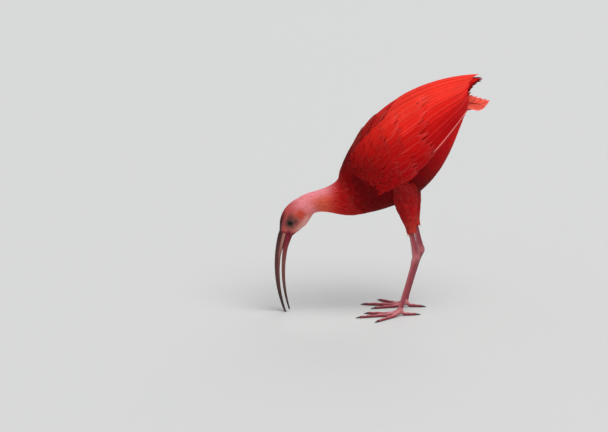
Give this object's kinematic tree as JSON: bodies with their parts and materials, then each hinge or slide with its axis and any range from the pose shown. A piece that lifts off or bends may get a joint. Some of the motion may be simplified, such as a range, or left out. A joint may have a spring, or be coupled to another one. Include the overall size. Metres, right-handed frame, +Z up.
{
  "type": "scarlet ibis",
  "caption": "Scarlet ibis, life size, standing with its back steep, its neck stretched forward and its long curved bill down to the floor.",
  "frame": {"origin": "middle of the bird's box at floor level, just in front of the left foot's heel", "axes": "+Z up from the floor the bird stands on, -X the way the bird faces, -Y the bird's left side"},
  "size_m": [0.3335, 0.1547, 0.3769],
  "materials": {
    "scarlet_plumage": "overlapping scarlet feathers, matt with a faint sheen",
    "neck_plumage": "short soft feathers, orange red to pink",
    "bare_skin": "scaly pinkish red skin",
    "bill_horn": "smooth horn, reddish brown",
    "eye_gloss": "wet and glossy, dark brown",
    "claw_horn": "smooth dark horn"
  },
  "bodies": {
    "root": {"torso": "scarlet_plumage", "tail": "scarlet_plumage", "neck": "neck_plumage", "head": "neck_plumage", "bill_upper": "bill_horn", "bill_lower": "bill_horn", "eye_left": "eye_gloss", "eye_right": "eye_gloss", "thigh_left": "scarlet_plumage", "thigh_right": "scarlet_plumage", "leg_left": "bare_skin", "leg_right": "bare_skin", "foot_left": "bare_skin", "foot_right": "bare_skin", "wing_left": "scarlet_plumage", "wing_right": "scarlet_plumage", "claw_left_inner": "claw_horn", "claw_left_middle": "claw_horn", "claw_left_outer": "claw_horn", "claw_left_hind": "claw_horn", "claw_right_inner": "claw_horn", "claw_right_middle": "claw_horn", "claw_right_outer": "claw_horn", "claw_right_hind": "claw_horn"}
  },
  "joints": []
}
